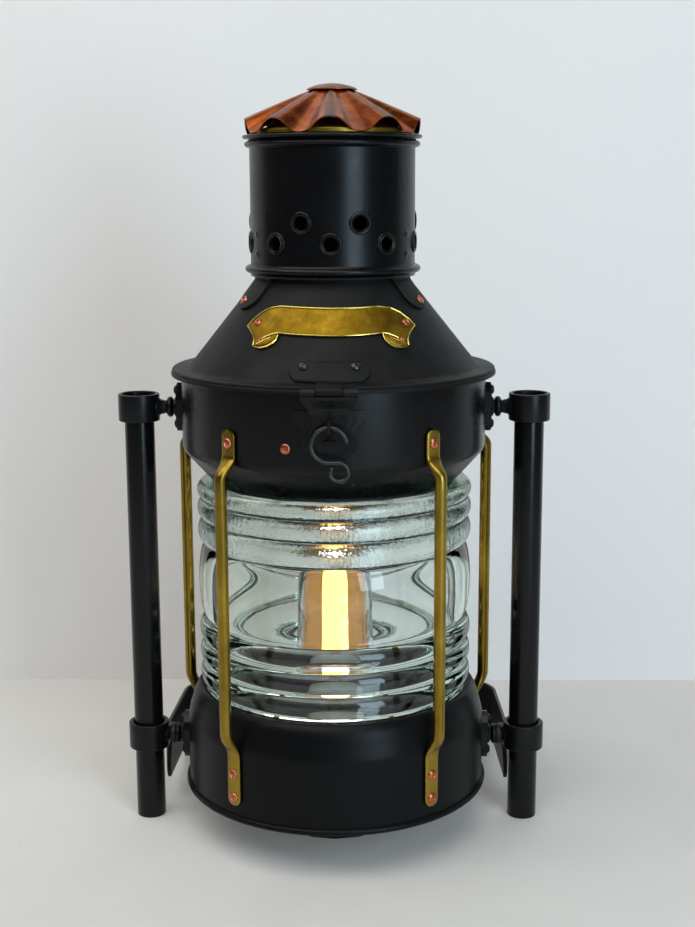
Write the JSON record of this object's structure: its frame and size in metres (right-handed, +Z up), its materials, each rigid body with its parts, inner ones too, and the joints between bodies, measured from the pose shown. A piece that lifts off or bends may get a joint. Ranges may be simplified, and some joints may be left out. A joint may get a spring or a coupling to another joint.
{
  "type": "ship anchor light",
  "caption": "Round ship's anchor light with a ribbed glass lens behind guard rods, hinged lid with chimney and fluted cap, side guide tubes and a hinged bail behind.",
  "frame": {"origin": "centre of the foot's underside, on the surface the light stands on", "axes": "+Z up along the case's axis, -Y to the front where the hasp is, +X to the right seen from the front"},
  "size_m": [0.3174, 0.3152, 0.5493],
  "materials": {
    "black_paint": "satin black paint",
    "black_iron": "satin black iron",
    "brass": "aged brass",
    "dark_brass": "tarnished brass",
    "copper": "polished copper",
    "steel": "plain steel",
    "rubber": "black rubber",
    "porcelain": "glazed porcelain",
    "lens_glass": "pressed clear glass",
    "clear_glass": "thin clear glass",
    "amber_glass": "amber tinted glass",
    "hot_wire": "glowing frosted tube"
  },
  "bodies": {
    "case": {"base_drum": "black_paint", "base_plate": "black_paint", "base_foot": "black_iron", "cable_gland": "rubber", "lens": "lens_glass", "lens_seal_lower": "rubber", "lens_seal_upper": "rubber", "upper_drum": "black_paint", "guide_tube_left": "black_paint", "guide_tube_right": "black_paint", "rear_drum_leaf": "black_iron", "rear_hinge_pin": "steel", "keeper_plate": "black_iron", "lamp_stem": "brass", "jar_cap": "dark_brass", "lamp_holder": "porcelain", "gallery": "brass", "glass_jar": "clear_glass", "lamp_cap": "brass", "amber_globe": "amber_glass", "lamp_tube": "hot_wire", "guard_rod_1": "brass", "guard_rod_2": "brass", "guard_rod_3": "brass", "guard_rod_4": "brass", "guard_rod_5": "brass", "eye_bolt_upper_left": "black_iron", "eye_nut_upper_left": "steel", "eye_plate_upper_left": "black_iron", "eye_bolt_upper_right": "black_iron", "eye_nut_upper_right": "steel", "eye_plate_upper_right": "black_iron", "eye_bolt_lower_left": "black_iron", "eye_nut_lower_left": "steel", "eye_plate_lower_left": "black_iron", "eye_bolt_lower_right": "black_iron", "eye_nut_lower_right": "steel", "eye_plate_lower_right": "black_iron"},
    "lid": {"lid_cone": "black_paint", "chimney": "black_paint", "chimney_strap_1": "black_iron", "chimney_strap_2": "black_iron", "chimney_strap_3": "black_iron", "cap_spider": "black_iron", "cap_dish": "dark_brass", "cap_post": "steel", "copper_cap": "copper", "cap_button": "copper", "scroll_plate": "brass", "rear_lid_leaf": "black_iron", "hasp_upper_leaf": "black_iron", "hasp_pin": "steel"},
    "hasp": {"hasp_leaf": "black_iron", "hasp_lug": "black_iron"},
    "hook": {"s_hook": "black_iron"},
    "bail": {"bail": "black_paint"}
  },
  "joints": [
    {"name": "lid_open", "type": "hinge", "parent": "case", "child": "lid", "pos_m": [0, 0.1212, 0.34495], "axis": [-1, 0, 0], "range_deg": [0, 100]},
    {"name": "hasp_swing", "type": "hinge", "parent": "lid", "child": "hasp", "pos_m": [0, -0.1212, 0.34756], "axis": [-1, 0, 0], "range_deg": [0, 170]},
    {"name": "hook_swing", "type": "hinge", "parent": "hasp", "child": "hook", "pos_m": [0, -0.12085, 0.32395], "axis": [-1, 0, 0], "range_deg": [-5, 85]},
    {"name": "bail_swing", "type": "hinge", "parent": "case", "child": "bail", "pos_m": [0, 0, 0.0655], "axis": [1, 0, 0], "range_deg": [-15, 50]}
  ]
}
